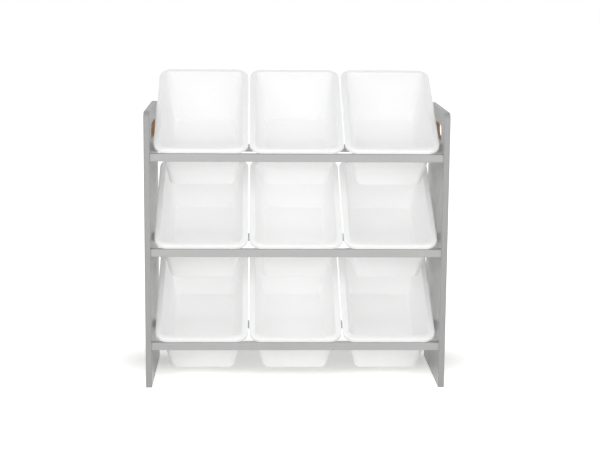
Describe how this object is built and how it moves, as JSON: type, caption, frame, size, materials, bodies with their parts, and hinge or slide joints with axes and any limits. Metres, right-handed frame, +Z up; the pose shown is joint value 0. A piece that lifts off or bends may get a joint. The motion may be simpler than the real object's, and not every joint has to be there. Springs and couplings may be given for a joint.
{
  "type": "toy storage organizer with bins",
  "caption": "Open three-tier stand of two side panels and front and rear rails, carrying tilted lift-out bins, with hand-hold slots at the top of both panels.",
  "frame": {"origin": "on the floor, under the centre of the whole object's bounding box", "axes": "+Z up, +Y towards the rear, +X to the right of someone who stands in front"},
  "size_m": [0.64, 0.2928, 0.6627],
  "materials": {
    "side_panel": "satin grey paint over fibreboard",
    "rail": "satin grey paint over fibreboard",
    "bin": "white moulded polypropylene, faint sheen",
    "screw": "zinc-plated steel",
    "pin": "plain beech"
  },
  "bodies": {
    "stand": {"left_side_panel": "side_panel", "right_side_panel": "side_panel", "front_rail_top": "rail", "rear_rail_top": "rail", "front_rail_middle": "rail", "rear_rail_middle": "rail", "front_rail_bottom": "rail", "rear_rail_bottom": "rail", "connector_screws_left": "screw", "locating_pins_left": "pin", "connector_screws_right": "screw", "locating_pins_right": "pin"},
    "bin_top_left": {"bin_top_left": "bin"},
    "bin_top_centre": {"bin_top_centre": "bin"},
    "bin_top_right": {"bin_top_right": "bin"},
    "bin_middle_left": {"bin_middle_left": "bin"},
    "bin_middle_centre": {"bin_middle_centre": "bin"},
    "bin_middle_right": {"bin_middle_right": "bin"},
    "bin_bottom_left": {"bin_bottom_left": "bin"},
    "bin_bottom_centre": {"bin_bottom_centre": "bin"},
    "bin_bottom_right": {"bin_bottom_right": "bin"}
  },
  "joints": [
    {"name": "lift_top_left", "type": "slide", "parent": "stand", "child": "bin_top_left", "axis": [0, -0.506, 0.8625], "range_m": [0, 0.16]},
    {"name": "lift_top_centre", "type": "slide", "parent": "stand", "child": "bin_top_centre", "axis": [0, -0.506, 0.8625], "range_m": [0, 0.16]},
    {"name": "lift_top_right", "type": "slide", "parent": "stand", "child": "bin_top_right", "axis": [0, -0.506, 0.8625], "range_m": [0, 0.16]},
    {"name": "lift_middle_left", "type": "slide", "parent": "stand", "child": "bin_middle_left", "axis": [0, -0.506, 0.8625], "range_m": [0, 0.0325]},
    {"name": "lift_middle_centre", "type": "slide", "parent": "stand", "child": "bin_middle_centre", "axis": [0, -0.506, 0.8625], "range_m": [0, 0.0325]},
    {"name": "lift_middle_right", "type": "slide", "parent": "stand", "child": "bin_middle_right", "axis": [0, -0.506, 0.8625], "range_m": [0, 0.0325]},
    {"name": "lift_bottom_left", "type": "slide", "parent": "stand", "child": "bin_bottom_left", "axis": [0, -0.506, 0.8625], "range_m": [0, 0.0325]},
    {"name": "lift_bottom_centre", "type": "slide", "parent": "stand", "child": "bin_bottom_centre", "axis": [0, -0.506, 0.8625], "range_m": [0, 0.0325]},
    {"name": "lift_bottom_right", "type": "slide", "parent": "stand", "child": "bin_bottom_right", "axis": [0, -0.506, 0.8625], "range_m": [0, 0.0325]}
  ]
}
